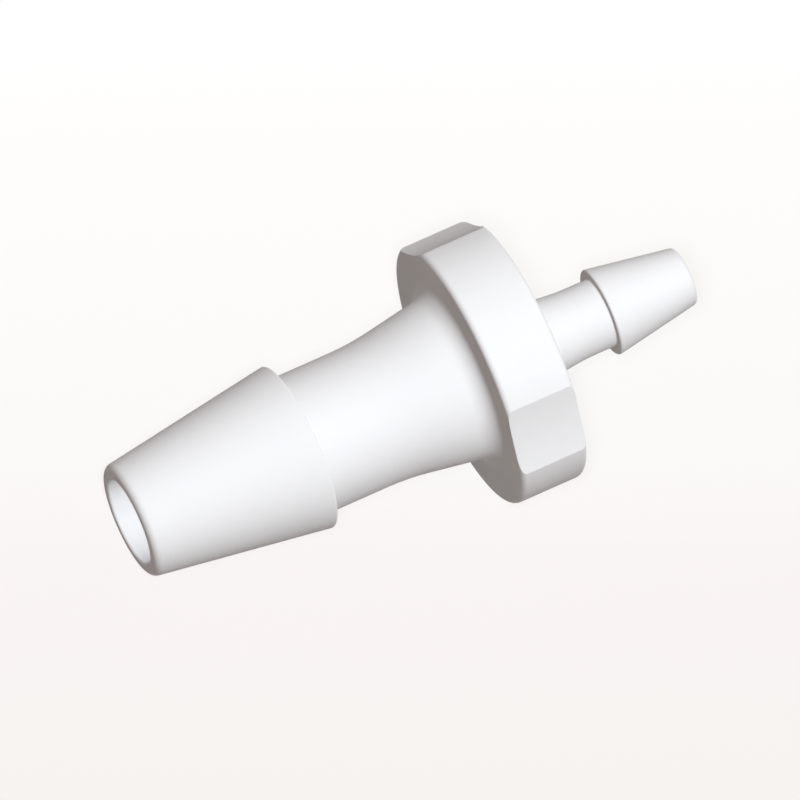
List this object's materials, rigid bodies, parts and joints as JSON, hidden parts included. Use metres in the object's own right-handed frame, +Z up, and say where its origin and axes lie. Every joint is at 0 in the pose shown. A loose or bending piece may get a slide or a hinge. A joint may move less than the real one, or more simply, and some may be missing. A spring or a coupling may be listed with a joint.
{
  "type": "hose barb reducer",
  "caption": "White moulded plastic reducer with a large and a small hose barb, flared necks and a thick scalloped flange between them.",
  "frame": {"origin": "middle of the footprint on the floor, with the fitting lying on its large tip and two corners of one scallop", "axes": "+X runs from the large barb to the small one and the bore's axis climbs towards +X, +Y across, +Z up"},
  "size_m": [0.0274, 0.0122, 0.0124],
  "materials": {
    "body": "satin as-moulded white plastic"
  },
  "bodies": {
    "root": {"reducer_body": "body"}
  },
  "joints": []
}
